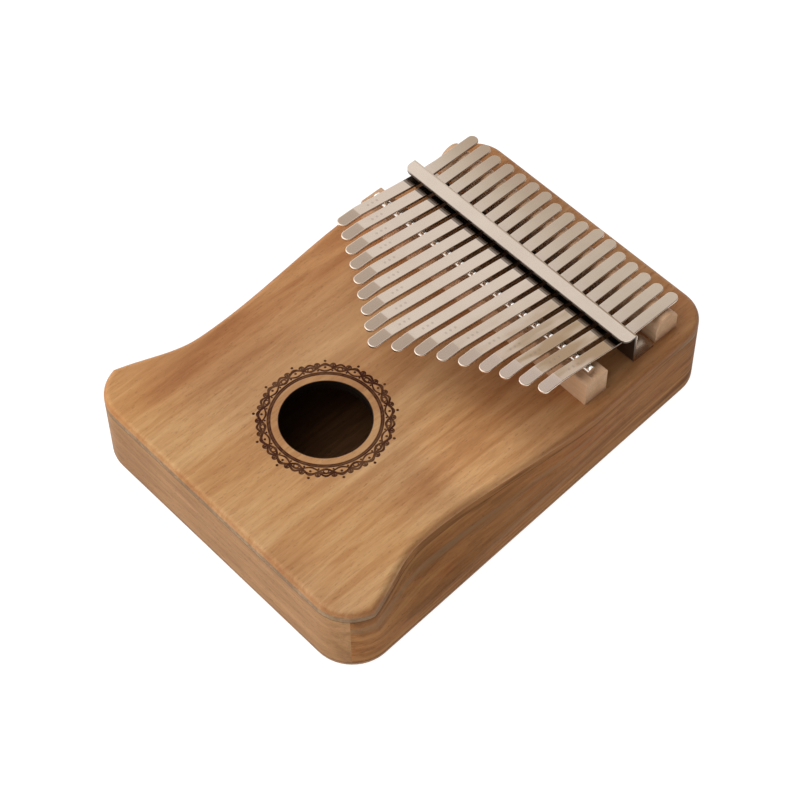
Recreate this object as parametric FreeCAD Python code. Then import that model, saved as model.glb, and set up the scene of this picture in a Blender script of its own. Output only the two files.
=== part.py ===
"""Thumb piano: a hollow wooden box with steel tines clamped over two bridges.

Frame: millimetres, origin at the middle of the underside, +X to the player's
right, +Y towards the rear end where the tines are held, +Z up out of the
soundboard. The tine tips and the sound hole face -Y.
"""
import FreeCAD
import Part
import math
import os

# Sound box, outside
BODY_LENGTH = 185.0
FRONT_WIDTH = 139.0
REAR_WIDTH = 122.6
BODY_HEIGHT = 34.5
FRONT_CORNER_RADIUS = 16.0
REAR_CORNER_RADIUS = 14.0
TOP_EDGE_RADIUS = 2.4
BOTTOM_EDGE_RADIUS = 3.0

# Sound box, boards
FACE_THICKNESS = 2.0
CORE_THICKNESS = 2.5
BACK_THICKNESS = 3.5
END_BOARD_THICKNESS = 5.0
SIDE_BOARD_THICKNESS = 12.5
BRACE_DEPTH = 22.0
BRACE_THICKNESS = 10.0

# Sound hole
SOUND_HOLE_DIAMETER = 33.0
SOUND_HOLE_FROM_FRONT = 52.3

# Palm scoops: a hollow blended into the upper part of each long side
SCOOP_DEPTH = 9.9
SCOOP_DEEPEST_FROM_FRONT = 43.0
SCOOP_FRONT_RUN = 38.0
SCOOP_REAR_RUN = 90.0
SCOOP_FOOT_HEIGHT = 6.0
SCOOP_BRIM_ABOVE_TOP = 3.5
SCOOP_SKIM = 0.35
SCOOP_STEP = 4.0

# Tines
TINE_COUNT = 17
TINE_PITCH = 6.4
TINE_WIDTH = 4.7
TINE_THICKNESS = 1.1
TINE_SEAT_HEIGHT = 10.8
TINE_RISE_ANGLE = 9.76
TINE_REAR_SETBACK = 10.5
TIP_LENGTH = 9.0
TIP_DROOP_ANGLE = 9.0
LONGEST_REACH = 53.8
LEFT_STEP = 4.35
LEFT_STEP_CHANGE = 0.045
RIGHT_STEP = 5.3
RIGHT_STEP_CHANGE = 0.165
TUNING_SHIFTS = (0.3, 0.4, -0.5, 0.1, 0.0, 0.5, 0.6, -0.8, -0.5,
                 0.1, 1.6, 1.3, -0.5, -0.7, -1.0, -1.3, -0.5)

# Front bridge and its steel saddle rod
FRONT_BRIDGE_SETBACK = 57.7
FRONT_BRIDGE_DEPTH = 10.5
FRONT_BRIDGE_OVERHANG = 4.2
ROD_DIAMETER = 3.6
ROD_OVERHANG = 1.4
ROD_SINK = 0.9
GROOVE_END_WALL = 1.2
BRIDGE_EDGE_RADIUS = 1.0

# Rear bridge
REAR_BRIDGE_SETBACK = 19.7
REAR_BRIDGE_DEPTH = 10.8
REAR_BRIDGE_SHOULDER = 6.4
REAR_BRIDGE_OVERHANG = 2.1

# Pressure bracket, a folded steel strip with a slot for each tine
BRACKET_SETBACK = 36.9
BRACKET_THICKNESS = 1.2
BRACKET_FOOT_DEPTH = 10.7
BRACKET_LIP_DEPTH = 6.4
BRACKET_OVERHANG = 2.8
BRACKET_BEND_RADIUS = 1.5

# Bracket screws, each between two tines
SCREW_GAPS = (-7.5, -4.5, -0.5, 3.5, 6.5)
SCREW_DIAMETER = 3.0
SCREW_LENGTH = 13.0
SCREW_HEAD_DIAMETER = 5.5
SCREW_HEAD_HEIGHT = 3.0
SCREW_FROM_WALL = 5.6
SCREW_RECESS_WIDTH = 0.7
SCREW_RECESS_DEPTH = 1.0

# Clearances
TINE_GAP = 0.15
SLOT_SIDE_GAP = 0.25
SLOT_HEIGHT_GAP = 0.3
LIP_GAP = 1.4
HINGE_GAP = 0.05
SCREW_GAP = 0.05
ROD_GROOVE_GAP = 0.03

# Places that follow from the sizes above
FRONT_Y = -BODY_LENGTH / 2
REAR_Y = BODY_LENGTH / 2
TOP_THICKNESS = FACE_THICKNESS + CORE_THICKNESS
BOARD_UNDERSIDE = BODY_HEIGHT - TOP_THICKNESS
ROD_Y = REAR_Y - FRONT_BRIDGE_SETBACK
REAR_BRIDGE_Y = REAR_Y - REAR_BRIDGE_SETBACK
WALL_Y = REAR_Y - BRACKET_SETBACK
TINE_REAR_Y = REAR_Y - TINE_REAR_SETBACK
TINE_SPAN = (TINE_COUNT - 1) * TINE_PITCH + TINE_WIDTH
RISE = math.radians(TINE_RISE_ANGLE)
ROD_RADIUS = ROD_DIAMETER / 2


def box(low, high):
    """A box between two opposite corners."""
    size = [b - a for a, b in zip(low, high)]
    return Part.makeBox(*size, FreeCAD.Vector(*low))


def prism_from_plan(points, bottom, height):
    """A vertical prism over a polygon of (x, y) points."""
    corners = [FreeCAD.Vector(x, y, bottom) for x, y in points]
    wire = Part.makePolygon(corners + corners[:1])
    return Part.Face(wire).extrude(FreeCAD.Vector(0, 0, height))


def prism_from_side(points, half_length):
    """A prism along X, even about X = 0, over a polygon of (y, z) points."""
    corners = [FreeCAD.Vector(-half_length, y, z) for y, z in points]
    wire = Part.makePolygon(corners + corners[:1])
    return Part.Face(wire).extrude(FreeCAD.Vector(2 * half_length, 0, 0))


def edges_where(shape, test):
    """The edges of a shape whose every vertex passes a test."""
    return [e for e in shape.Edges if all(test(v.Point) for v in e.Vertexes)]


def half_width(y):
    """Half the width of the tapered body at a place along it."""
    share = (y - FRONT_Y) / BODY_LENGTH
    return (FRONT_WIDTH + (REAR_WIDTH - FRONT_WIDTH) * share) / 2


def mirrored(shape):
    """The shape's mirror image across the middle plane X = 0."""
    return shape.mirror(FreeCAD.Vector(0, 0, 0), FreeCAD.Vector(1, 0, 0))


# Sound box

def trapezoid(front_y, rear_y, inset):
    """Corners of the body's tapered outline between two ends, less an inset."""
    front = half_width(front_y) - inset
    rear = half_width(rear_y) - inset
    return [(-front, front_y), (front, front_y), (rear, rear_y), (-rear, rear_y)]


def eased(share):
    """A share from 0 to 1, eased so that it starts and ends level."""
    share = min(max(share, 0.0), 1.0)
    return share * share * (3 - 2 * share)


def scoop_depth(y, z):
    """How deep the palm scoop is at a place on the long side."""
    along = y - (FRONT_Y + SCOOP_DEEPEST_FROM_FRONT)
    run = SCOOP_REAR_RUN if along > 0 else SCOOP_FRONT_RUN
    rise = (z - SCOOP_FOOT_HEIGHT) / (BODY_HEIGHT + SCOOP_BRIM_ABOVE_TOP - SCOOP_FOOT_HEIGHT)
    return SCOOP_DEPTH * eased(1 - abs(along) / run) * eased(rise)


def spaced(low, high):
    """Evenly spaced values between two limits, about a scoop step apart."""
    count = math.ceil((high - low) / SCOOP_STEP)
    return [low + (high - low) * i / count for i in range(count + 1)]


def scoop_cutter():
    """Everything outside the right-hand side's scooped surface."""
    rows = []
    for y in spaced(FRONT_Y - SCOOP_STEP, REAR_Y + SCOOP_STEP):
        wall = half_width(y) + SCOOP_SKIM
        rows.append([FreeCAD.Vector(wall - scoop_depth(y, z), y, z)
                     for z in spaced(-SCOOP_STEP, BODY_HEIGHT + SCOOP_STEP)])
    surface = Part.BSplineSurface()
    surface.interpolate(rows)
    return surface.toShape().extrude(FreeCAD.Vector(SCOOP_DEPTH + SIDE_BOARD_THICKNESS, 0, 0))


def body_blank():
    """The whole sound box as one block: rounded outline, scoops and edges."""
    blank = prism_from_plan(trapezoid(FRONT_Y, REAR_Y, 0), 0, BODY_HEIGHT)
    upright = [e for e in blank.Edges if abs(e.tangentAt(0).z) > 0.9]
    front = [e for e in upright if e.CenterOfMass.y < 0]
    blank = blank.makeFillet(FRONT_CORNER_RADIUS, front)
    rear = [e for e in blank.Edges
            if abs(e.CenterOfMass.y - REAR_Y) < 0.01 and e.BoundBox.ZLength > BODY_HEIGHT / 2]
    blank = blank.makeFillet(REAR_CORNER_RADIUS, rear)
    scoop = scoop_cutter()
    blank = blank.cut(scoop).cut(mirrored(scoop))
    top = edges_where(blank, lambda p: abs(p.z - BODY_HEIGHT) < 0.01)
    blank = blank.makeFillet(TOP_EDGE_RADIUS, top)
    bottom = edges_where(blank, lambda p: abs(p.z) < 0.01)
    return blank.makeFillet(BOTTOM_EDGE_RADIUS, bottom)


def layer(blank, bottom, top):
    """The slice of the block between two heights."""
    reach = max(FRONT_WIDTH, REAR_WIDTH)
    return blank.common(box((-reach, FRONT_Y - 1, bottom), (reach, REAR_Y + 1, top)))


def sound_hole():
    """The round hole through the soundboard."""
    centre = FreeCAD.Vector(0, FRONT_Y + SOUND_HOLE_FROM_FRONT, BOARD_UNDERSIDE - 1)
    return Part.makeCylinder(SOUND_HOLE_DIAMETER / 2, TOP_THICKNESS + 2, centre)


def screw_places():
    """The (x, y) of each bracket screw."""
    y = WALL_Y + BRACKET_THICKNESS / 2 + SCREW_FROM_WALL
    return [(gap * TINE_PITCH, y) for gap in SCREW_GAPS]


def screw_holes(bottom, top):
    """The screws' holes between two heights."""
    radius = SCREW_DIAMETER / 2 + SCREW_GAP
    return [Part.makeCylinder(radius, top - bottom, FreeCAD.Vector(x, y, bottom))
            for x, y in screw_places()]


def drilled(shape, holes):
    """A shape with each of the holes cut from it."""
    for hole in holes:
        shape = shape.cut(hole)
    return shape


def top_boards(blank):
    """The soundboard's face layer and its core."""
    seam = BODY_HEIGHT - FACE_THICKNESS
    holes = screw_holes(BOARD_UNDERSIDE - 1, BODY_HEIGHT + 1) + [sound_hole()]
    face = drilled(layer(blank, seam, BODY_HEIGHT), holes)
    core = drilled(layer(blank, BOARD_UNDERSIDE, seam), holes)
    return {"soundboard_face": face, "soundboard_core": core}


def frame_boards(blank):
    """The four upright boards between the soundboard and the back."""
    inner_front = FRONT_Y + END_BOARD_THICKNESS
    inner_rear = REAR_Y - END_BOARD_THICKNESS
    cavity_plan = trapezoid(inner_front, inner_rear, SIDE_BOARD_THICKNESS)
    cavity = prism_from_plan(cavity_plan, BACK_THICKNESS, BOARD_UNDERSIDE - BACK_THICKNESS)
    ring = layer(blank, BACK_THICKNESS, BOARD_UNDERSIDE).cut(cavity)
    reach = max(FRONT_WIDTH, REAR_WIDTH)
    front = ring.common(box((-reach, FRONT_Y - 1, 0), (reach, inner_front, BODY_HEIGHT)))
    rear = ring.common(box((-reach, inner_rear, 0), (reach, REAR_Y + 1, BODY_HEIGHT)))
    left = ring.common(box((-reach, inner_front, 0), (0, inner_rear, BODY_HEIGHT)))
    right = ring.common(box((0, inner_front, 0), (reach, inner_rear, BODY_HEIGHT)))
    holes = screw_holes(BOARD_UNDERSIDE - BRACE_THICKNESS, BOARD_UNDERSIDE + 1)
    left = drilled(left, holes)
    right = drilled(right, holes)
    return {
        "front_end_board": front,
        "rear_end_board": rear,
        "left_side_board": left,
        "right_side_board": right,
    }


def inner_brace():
    """The block under the soundboard that the bracket screws bite into."""
    middle = screw_places()[0][1]
    plan = trapezoid(middle - BRACE_DEPTH / 2, middle + BRACE_DEPTH / 2, SIDE_BOARD_THICKNESS)
    bottom = BOARD_UNDERSIDE - BRACE_THICKNESS
    brace = prism_from_plan(plan, bottom, BRACE_THICKNESS)
    return drilled(brace, screw_holes(bottom - 1, BOARD_UNDERSIDE + 1))


# Tines

def tine_x(index):
    """The middle of a tine, counted from 0 at the left."""
    return (index - (TINE_COUNT - 1) / 2) * TINE_PITCH


def tine_reach(index):
    """How far a tine's tip stands ahead of the saddle rod."""
    away = index - (TINE_COUNT - 1) / 2
    if away < 0:
        step, change = LEFT_STEP, LEFT_STEP_CHANGE
    else:
        step, change = RIGHT_STEP, RIGHT_STEP_CHANGE
    return LONGEST_REACH - step * abs(away) + change * away ** 2


def bend_point():
    """Where a tine's middle line bends up, inside its slot: (y, z)."""
    return WALL_Y, BODY_HEIGHT + TINE_SEAT_HEIGHT + TINE_THICKNESS / 2


def rising_z(y):
    """Height of a tine's middle line on its rising run."""
    bend_y, bend_z = bend_point()
    return bend_z + (bend_y - y) * math.tan(RISE)


def rod_centre():
    """The saddle rod's axis, just under the rising run: (y, z)."""
    drop = ROD_RADIUS + TINE_GAP + TINE_THICKNESS / 2
    y = ROD_Y
    z = rising_z(y) - drop / math.cos(RISE)
    return y, z


def flex_point():
    """Where a tine starts to flex, square above the saddle rod: (y, z)."""
    rod_y, rod_z = rod_centre()
    rise = ROD_RADIUS + TINE_GAP + TINE_THICKNESS / 2
    return rod_y + rise * math.sin(RISE), rod_z + rise * math.cos(RISE)


def strip_outline(middle_line):
    """Outline of a bent strip of the tine's thickness about a middle line."""
    half = TINE_THICKNESS / 2
    directions = []
    for (y0, z0), (y1, z1) in zip(middle_line, middle_line[1:]):
        run = math.hypot(y1 - y0, z1 - z0)
        directions.append(((y1 - y0) / run, (z1 - z0) / run))
    upper = []
    lower = []
    for place, (y, z) in enumerate(middle_line):
        before = directions[max(place - 1, 0)]
        after = directions[min(place, len(directions) - 1)]
        normal = (-(before[1] + after[1]) / 2, (before[0] + after[0]) / 2)
        scale = half / (normal[0] ** 2 + normal[1] ** 2)
        upper.append((y + normal[0] * scale, z + normal[1] * scale))
        lower.append((y - normal[0] * scale, z - normal[1] * scale))
    return upper + lower[::-1]


def round_end(x, end_y, towards, length):
    """A plan-view prism with one full-round end, used to shape a tine's end."""
    radius = TINE_WIDTH / 2
    centre_y = end_y - towards * radius
    far_y = end_y - towards * length
    low_y, high_y = sorted((centre_y, far_y))
    bar = box((x - radius, low_y, 0), (x + radius, high_y, 3 * BODY_HEIGHT))
    nose = Part.makeCylinder(radius, 3 * BODY_HEIGHT, FreeCAD.Vector(x, centre_y, 0))
    return bar.fuse(nose)


def tine_blade(index):
    """The free part of a tine, from the saddle rod to the tip."""
    flex_y, flex_z = flex_point()
    start = (flex_y - HINGE_GAP * math.cos(RISE), flex_z + HINGE_GAP * math.sin(RISE))
    tip_y = ROD_Y - tine_reach(index)
    droop = RISE - math.radians(TIP_DROOP_ANGLE)
    knee_y = tip_y + TIP_LENGTH
    knee = (knee_y, rising_z(knee_y))
    tip = (tip_y, knee[1] + TIP_LENGTH * math.tan(droop))
    strip = prism_from_side(strip_outline([start, knee, tip]), TINE_WIDTH / 2)
    strip.translate(FreeCAD.Vector(tine_x(index), 0, 0))
    return strip.common(round_end(tine_x(index), tip_y, -1, BODY_LENGTH))


def tine_tail(index):
    """The held part of a tine, from the saddle rod to its rear end."""
    flex_y, flex_z = flex_point()
    start = (flex_y + HINGE_GAP * math.cos(RISE), flex_z - HINGE_GAP * math.sin(RISE))
    end_y = TINE_REAR_Y + TUNING_SHIFTS[index]
    bend = bend_point()
    strip = prism_from_side(strip_outline([start, bend, (end_y, bend[1])]), TINE_WIDTH / 2)
    strip.translate(FreeCAD.Vector(tine_x(index), 0, 0))
    return strip.common(round_end(tine_x(index), end_y, 1, BODY_LENGTH))


# Bridges, rod and bracket

def saddle_rod():
    """The steel rod that the tines bear on."""
    half = TINE_SPAN / 2 + ROD_OVERHANG
    y, z = rod_centre()
    return Part.makeCylinder(ROD_RADIUS, 2 * half, FreeCAD.Vector(-half, y, z),
                             FreeCAD.Vector(1, 0, 0))


def front_bridge():
    """The wooden block with a groove along its top for the saddle rod."""
    half = TINE_SPAN / 2 + FRONT_BRIDGE_OVERHANG
    rod_y, rod_z = rod_centre()
    top = rod_z - ROD_RADIUS + ROD_SINK
    front = ROD_Y - FRONT_BRIDGE_DEPTH / 2
    rear = ROD_Y + FRONT_BRIDGE_DEPTH / 2
    block = box((-half, front, BODY_HEIGHT), (half, rear, top))
    upper = [e for e in edges_where(block, lambda p: abs(p.z - top) < 0.01)
             if e.BoundBox.XLength > half]
    block = block.makeFillet(BRIDGE_EDGE_RADIUS, upper)
    reach = half - GROOVE_END_WALL
    groove = Part.makeCylinder(ROD_RADIUS + ROD_GROOVE_GAP, 2 * reach,
                               FreeCAD.Vector(-reach, rod_y, rod_z), FreeCAD.Vector(1, 0, 0))
    return block.cut(groove)


def rear_bridge():
    """The half-round wooden bar under the tines' rear ends."""
    half = TINE_SPAN / 2 + REAR_BRIDGE_OVERHANG
    front = REAR_BRIDGE_Y - REAR_BRIDGE_DEPTH / 2
    rear = REAR_BRIDGE_Y + REAR_BRIDGE_DEPTH / 2
    crown = BODY_HEIGHT + TINE_SEAT_HEIGHT - TINE_GAP
    shoulder = BODY_HEIGHT + REAR_BRIDGE_SHOULDER
    foot_front = FreeCAD.Vector(-half, front, BODY_HEIGHT)
    foot_rear = FreeCAD.Vector(-half, rear, BODY_HEIGHT)
    up_front = FreeCAD.Vector(-half, front, shoulder)
    up_rear = FreeCAD.Vector(-half, rear, shoulder)
    middle = FreeCAD.Vector(-half, REAR_BRIDGE_Y, crown)
    wire = Part.Wire([
        Part.LineSegment(foot_front, up_front).toShape(),
        Part.Arc(up_front, middle, up_rear).toShape(),
        Part.LineSegment(up_rear, foot_rear).toShape(),
        Part.LineSegment(foot_rear, foot_front).toShape(),
    ])
    return Part.Face(wire).extrude(FreeCAD.Vector(2 * half, 0, 0))


def lip_underside():
    """Height of the bracket lip's underside, clear of every tine."""
    lip_front = WALL_Y + BRACKET_THICKNESS / 2 - BRACKET_LIP_DEPTH
    return rising_z(lip_front) + TINE_THICKNESS / 2 / math.cos(RISE) + LIP_GAP


def bracket_slots():
    """The openings in the bracket's wall, one for each tine."""
    half = TINE_WIDTH / 2 + SLOT_SIDE_GAP
    rear_face = WALL_Y + BRACKET_THICKNESS / 2
    front_face = WALL_Y - BRACKET_THICKNESS / 2
    bottom = BODY_HEIGHT + TINE_SEAT_HEIGHT - SLOT_HEIGHT_GAP
    top = rising_z(front_face) + TINE_THICKNESS / 2 / math.cos(RISE) + SLOT_HEIGHT_GAP
    return [box((tine_x(i) - half, front_face - 1, bottom),
                (tine_x(i) + half, rear_face + 1, top)) for i in range(TINE_COUNT)]


def pressure_bracket():
    """The folded steel strip: lip over the tines, slotted wall, foot behind."""
    half = TINE_SPAN / 2 + BRACKET_OVERHANG
    rear_face = WALL_Y + BRACKET_THICKNESS / 2
    front_face = WALL_Y - BRACKET_THICKNESS / 2
    lip_front = rear_face - BRACKET_LIP_DEPTH
    foot_rear = front_face + BRACKET_FOOT_DEPTH
    foot_top = BODY_HEIGHT + BRACKET_THICKNESS
    lip_bottom = lip_underside()
    lip_top = lip_bottom + BRACKET_THICKNESS
    outline = [
        (lip_front, lip_top), (rear_face, lip_top), (rear_face, foot_top),
        (foot_rear, foot_top), (foot_rear, BODY_HEIGHT), (front_face, BODY_HEIGHT),
        (front_face, lip_bottom), (lip_front, lip_bottom),
    ]
    strip = prism_from_side(outline, half)
    outer_bends = [(rear_face, lip_top), (front_face, BODY_HEIGHT)]
    edges = [e for e in strip.Edges if e.BoundBox.XLength > half
             and any(math.hypot(e.CenterOfMass.y - y, e.CenterOfMass.z - z) < 0.01
                     for y, z in outer_bends)]
    strip = strip.makeFillet(BRACKET_BEND_RADIUS, edges)
    lip_middle = (lip_front + rear_face) / 2
    nose_radius = BRACKET_LIP_DEPTH / 2
    for side in (-1, 1):
        nose_x = side * (half - nose_radius)
        square = box((min(nose_x, side * half), lip_front, lip_bottom),
                     (max(nose_x, side * half), rear_face, lip_top))
        nose = Part.makeCylinder(nose_radius, BRACKET_THICKNESS,
                                 FreeCAD.Vector(nose_x, lip_middle, lip_bottom))
        corner = square.cut(nose)
        front_half = box((-2 * half, lip_front - 1, lip_bottom), (2 * half, lip_middle, lip_top))
        strip = strip.cut(corner.common(front_half))
    strip = drilled(strip, bracket_slots())
    return drilled(strip, screw_holes(BODY_HEIGHT - 1, foot_top + 1))


def bracket_screw(x, y):
    """One cross-head screw standing in the bracket's foot."""
    seat = BODY_HEIGHT + BRACKET_THICKNESS
    head = Part.makeCylinder(SCREW_HEAD_DIAMETER / 2, SCREW_HEAD_HEIGHT, FreeCAD.Vector(x, y, seat))
    rim = [e for e in head.Edges if abs(e.CenterOfMass.z - seat - SCREW_HEAD_HEIGHT) < 0.01]
    head = head.makeFillet(SCREW_HEAD_HEIGHT / 2, rim)
    shank = Part.makeCylinder(SCREW_DIAMETER / 2, SCREW_LENGTH,
                              FreeCAD.Vector(x, y, seat - SCREW_LENGTH))
    arm = SCREW_HEAD_DIAMETER / 3.2
    half = SCREW_RECESS_WIDTH / 2
    floor = seat + SCREW_HEAD_HEIGHT - SCREW_RECESS_DEPTH
    ceiling = seat + SCREW_HEAD_HEIGHT + 1
    recess = box((x - arm, y - half, floor), (x + arm, y + half, ceiling))
    recess = recess.fuse(box((x - half, y - arm, floor), (x + half, y + arm, ceiling)))
    return head.fuse(shank).cut(recess)


def bracket_screws():
    """The row of identical bracket screws."""
    return Part.makeCompound([bracket_screw(x, y) for x, y in screw_places()])


def build():
    """Every piece of the instrument by node name."""
    blank = body_blank()
    pieces = top_boards(blank)
    pieces.update(frame_boards(blank))
    pieces["back_plate"] = layer(blank, 0, BACK_THICKNESS)
    pieces["inner_brace"] = inner_brace()
    pieces["front_bridge"] = front_bridge()
    pieces["saddle_rod"] = saddle_rod()
    pieces["rear_bridge"] = rear_bridge()
    pieces["pressure_bracket"] = pressure_bracket()
    pieces["bracket_screws"] = bracket_screws()
    for index in range(TINE_COUNT):
        pieces["tine_%02d_blade" % (index + 1)] = tine_blade(index)
        pieces["tine_%02d_tail" % (index + 1)] = tine_tail(index)
    return pieces


def main():
    """Write every piece as parts/NODE.step."""
    os.makedirs("parts", exist_ok=True)
    for name, shape in build().items():
        shape.exportStep("parts/%s.step" % name)


if __name__ == "__main__":
    main()
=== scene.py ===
"""Looks of a seventeen-tine thumb piano: a hollow wooden box, steel tines, two bridges and a bracket.

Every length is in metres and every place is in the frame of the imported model: X runs across the
tines, -Y points to the tines' tips and the sound hole, and Z is up from the box's underside.
"""

from __future__ import annotations

import logging
import math
from dataclasses import dataclass, field
from enum import Enum
from typing import Any, Callable

import bmesh
import bpy
from mathutils import Matrix, Vector


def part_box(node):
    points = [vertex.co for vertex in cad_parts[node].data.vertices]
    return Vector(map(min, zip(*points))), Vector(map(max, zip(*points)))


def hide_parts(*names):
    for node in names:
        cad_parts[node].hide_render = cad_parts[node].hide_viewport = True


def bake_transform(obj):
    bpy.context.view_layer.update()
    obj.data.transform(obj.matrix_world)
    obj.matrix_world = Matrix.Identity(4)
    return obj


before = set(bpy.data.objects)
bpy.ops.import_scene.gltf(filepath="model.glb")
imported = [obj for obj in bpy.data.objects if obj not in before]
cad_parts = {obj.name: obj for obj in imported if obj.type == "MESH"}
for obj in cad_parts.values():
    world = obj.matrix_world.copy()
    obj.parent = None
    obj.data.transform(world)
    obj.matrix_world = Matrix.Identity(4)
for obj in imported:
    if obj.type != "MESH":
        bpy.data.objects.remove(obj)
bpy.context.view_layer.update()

LOG = logging.getLogger("thumb_piano")
Colour = tuple[float, float, float]
Socket = bpy.types.NodeSocket

BODY_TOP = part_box("soundboard_face")[1].z
FACE_LOW, FACE_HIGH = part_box("soundboard_face")
HOLE_FROM_FRONT = 0.0523
HOLE_RADIUS = 0.0165
BRACKET_WALL_Y = 0.0556
STRIP_MAP = "strip"
NEAR = 1e-6


def scaled(colour: Colour, share: float) -> Colour:
    """A colour made darker or brighter, held at 1 or below."""
    return tuple(min(1.0, part * share) for part in colour)


class Grain(Enum):
    """The direction that a board's grain runs in."""

    ALONG = "along Y"
    ACROSS = "along X"


# ---------------------------------------------------------------------------
# Shader sums written as Python sums
# ---------------------------------------------------------------------------


class Value:
    """A shader socket that carries a number and can be used in Python sums."""

    def __init__(self, graph: Graph, socket: Socket) -> None:
        """Wraps a socket.

        Args:
            graph: The graph that the socket belongs to.
            socket: The output socket.
        """
        self.graph = graph
        self.socket = socket

    def __add__(self, other: Value | float) -> Value:
        """The sum of two values."""
        return self.graph.math("ADD", self, other)

    def __radd__(self, other: Value | float) -> Value:
        """The sum of two values."""
        return self.graph.math("ADD", other, self)

    def __sub__(self, other: Value | float) -> Value:
        """This value less another."""
        return self.graph.math("SUBTRACT", self, other)

    def __rsub__(self, other: Value | float) -> Value:
        """Another value less this one."""
        return self.graph.math("SUBTRACT", other, self)

    def __mul__(self, other: Value | float) -> Value:
        """The product of two values."""
        return self.graph.math("MULTIPLY", self, other)

    def __rmul__(self, other: Value | float) -> Value:
        """The product of two values."""
        return self.graph.math("MULTIPLY", other, self)

    def __truediv__(self, other: Value | float) -> Value:
        """This value over another."""
        return self.graph.math("DIVIDE", self, other)

    def __pow__(self, other: Value | float) -> Value:
        """This value to a power."""
        return self.graph.math("POWER", self, other)

    def __abs__(self) -> Value:
        """The size of this value without its sign."""
        return self.graph.math("ABSOLUTE", self)

    def either(self, other: Value | float) -> Value:
        """The larger of two masks."""
        return self.graph.math("MAXIMUM", self, other)


class Graph:
    """A node tree, with short calls that add nodes to it."""

    def __init__(self, tree: bpy.types.NodeTree) -> None:
        """Takes the node tree that nodes are added to."""
        self.tree = tree

    def node(self, kind: str, settings: dict[str, Any] | None = None, **inputs: Any) -> bpy.types.Node:
        """Adds one node.

        Args:
            kind: The node's type.
            settings: Its settings, by attribute name. "stops" sets a ramp's stops.
            **inputs: Values or links of its sockets. A name is the socket's name with _ for each
                space, or n and a number for the socket at that place.

        Returns:
            The new node.
        """
        made = self.tree.nodes.new(kind)
        for name, setting in (settings or {}).items():
            if name == "stops":
                self.set_stops(made, setting)
            else:
                setattr(made, name, setting)
        for name, value in inputs.items():
            socket = made.inputs[int(name[1:])] if name[1:].isdigit() else made.inputs[name.replace("_", " ")]
            if isinstance(value, Value):
                self.tree.links.new(value.socket, socket)
            elif isinstance(value, Socket):
                self.tree.links.new(value, socket)
            else:
                socket.default_value = value
        return made

    @staticmethod
    def set_stops(ramp: bpy.types.Node, stops: list[tuple[float, Colour]]) -> None:
        """Sets a colour ramp's stops.

        Args:
            ramp: The ramp node.
            stops: Places from 0 to 1 and their colours.
        """
        elements = ramp.color_ramp.elements
        while len(elements) < len(stops):
            elements.new(1.0)
        for element, (place, colour) in zip(elements, stops):
            element.position = place
            element.color = (*colour, 1.0)

    def math(self, operation: str, *values: Value | float) -> Value:
        """One Math node on numbers or values.

        Args:
            operation: The node's operation.
            *values: Its inputs in order.

        Returns:
            The result.
        """
        inputs = {f"n{i}": v for i, v in enumerate(values)}
        made = self.node("ShaderNodeMath", {"operation": operation}, **inputs)
        return Value(self, made.outputs[0])

    def place(self) -> Socket:
        """The point on the surface in the object's own coordinates."""
        return self.node("ShaderNodeTexCoord").outputs["Object"]

    def parts(self, vector: Socket) -> tuple[Value, Value, Value]:
        """The X, Y and Z of a vector."""
        made = self.node("ShaderNodeSeparateXYZ", n0=vector)
        return tuple(Value(self, made.outputs[i]) for i in range(3))

    def joined(self, x: Value | float, y: Value | float, z: Value | float) -> Socket:
        """A vector from its X, Y and Z."""
        return self.node("ShaderNodeCombineXYZ", n0=x, n1=y, n2=z).outputs[0]

    def noise(self, vector: Socket, scale: Colour, detail: float = 3.0,
              rough: float = 0.55, twist: float = 0.0) -> Value:
        """A noise stretched to a scale along each axis.

        Args:
            vector: The coordinates to read.
            scale: Features per metre along X, Y and Z.
            detail: The number of finer layers.
            rough: How strong the finer layers are.
            twist: How far the noise is distorted.

        Returns:
            The noise, from 0 to 1.
        """
        mapped = self.node("ShaderNodeMapping", n0=vector, Scale=scale).outputs[0]
        made = self.node("ShaderNodeTexNoise", None, Vector=mapped, Scale=1.0, Detail=detail,
                         Roughness=rough, Distortion=twist)
        return Value(self, made.outputs[0])

    def step(self, value: Value, low: float, high: float) -> Value:
        """A smooth step.

        Args:
            value: The value to map.
            low: Where the step is 0.
            high: Where the step is 1. It may be below low.

        Returns:
            The step, from 0 to 1.
        """
        settings = {"interpolation_type": "SMOOTHSTEP"}
        made = self.node("ShaderNodeMapRange", settings, n0=value, n1=low, n2=high)
        return Value(self, made.outputs[0])

    def line(self, value: Value, middle: float, half: float, soft: float) -> Value:
        """A mask that is 1 within half of a middle value and fades over soft."""
        return 1.0 - self.step(abs(value - middle), half, half + soft)

    def mix(self, mask: Value | float, first: Any, second: Any, blend: str = "MIX") -> Socket:
        """Two colours mixed by a mask.

        Args:
            mask: 0 for the first colour and 1 for the second.
            first: A colour or a colour socket.
            second: A colour or a colour socket.
            blend: How the second is laid over the first.

        Returns:
            The mixed colour.
        """
        a, b = (c if isinstance(c, Socket) else (*c, 1.0) for c in (first, second))
        settings = {"data_type": "RGBA", "blend_type": blend}
        return self.node("ShaderNodeMix", settings, n0=mask, n6=a, n7=b).outputs[2]

    def bump(self, height: Value, distance: float, strength: float = 1.0) -> Socket:
        """A surface normal tilted by a height in units of a distance."""
        made = self.node("ShaderNodeBump", None, Strength=strength, Distance=distance, Height=height)
        return made.outputs[0]


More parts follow.
